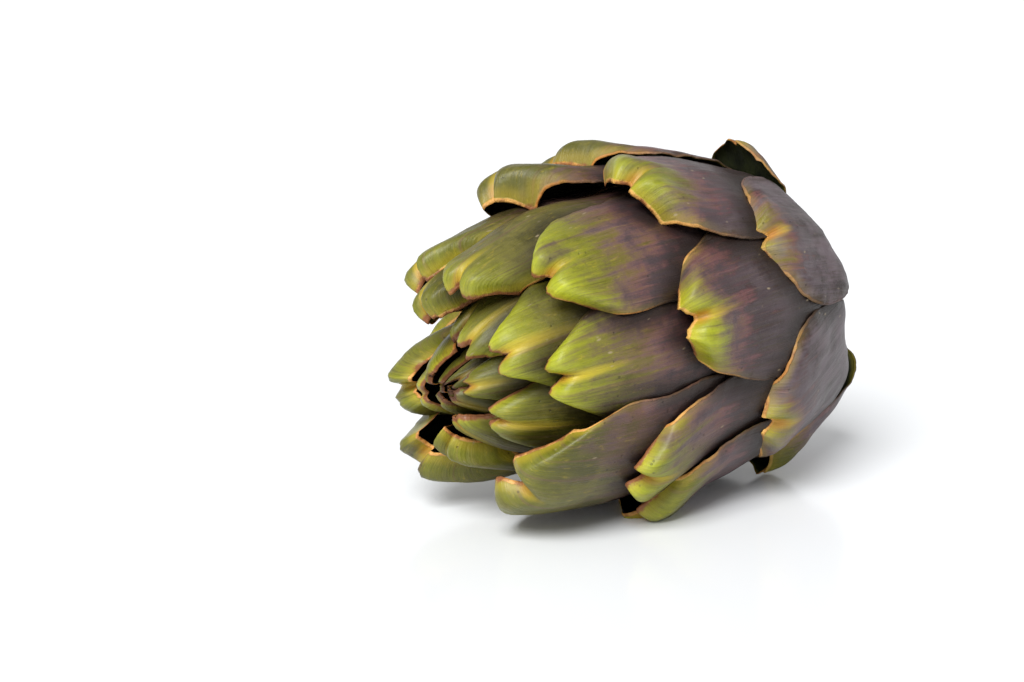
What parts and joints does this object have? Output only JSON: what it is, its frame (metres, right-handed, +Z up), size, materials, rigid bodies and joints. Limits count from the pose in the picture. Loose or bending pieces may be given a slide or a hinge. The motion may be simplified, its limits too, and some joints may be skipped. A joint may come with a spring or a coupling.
{
  "type": "globe artichoke head",
  "caption": "Picked globe artichoke head lying on its side: overlapping notched bracts, green to purple, spiral round a fleshy heart with a stub of cut stem.",
  "frame": {"origin": "centre of the underside of the bounding box, on the surface that the head lies on", "axes": "+Z up, +X along the head from its tip to its cut stem, +Y across"},
  "size_m": [0.133, 0.0852, 0.0873],
  "materials": {
    "heart": "pale green plant flesh, matt, fibrous, drier at the cut",
    "bract_basal": "waxy plant skin, purple-grey bloom over olive",
    "bract_outer": "waxy plant skin, purple-brown at the root to bright olive green at the tip",
    "bract_inner": "waxy plant skin, yellow-green with an orange rim"
  },
  "bodies": {
    "root": {"heart": "heart", "bract_01": "bract_basal", "bract_02": "bract_basal", "bract_03": "bract_basal", "bract_04": "bract_basal", "bract_05": "bract_basal", "bract_06": "bract_basal", "bract_07": "bract_outer", "bract_08": "bract_outer", "bract_09": "bract_outer", "bract_10": "bract_outer", "bract_11": "bract_outer", "bract_12": "bract_outer", "bract_13": "bract_outer", "bract_14": "bract_outer", "bract_15": "bract_outer", "bract_16": "bract_outer", "bract_17": "bract_outer", "bract_18": "bract_inner", "bract_19": "bract_inner", "bract_20": "bract_inner", "bract_21": "bract_inner", "bract_22": "bract_inner", "bract_23": "bract_inner", "bract_24": "bract_inner", "bract_25": "bract_inner", "bract_26": "bract_inner", "bract_27": "bract_inner", "bract_28": "bract_inner", "bract_29": "bract_inner", "bract_30": "bract_inner", "bract_31": "bract_inner", "bract_32": "bract_inner", "bract_33": "bract_inner", "bract_34": "bract_inner", "bract_35": "bract_inner", "bract_36": "bract_inner", "bract_37": "bract_inner", "bract_38": "bract_inner", "bract_39": "bract_inner", "bract_40": "bract_inner"}
  },
  "joints": []
}
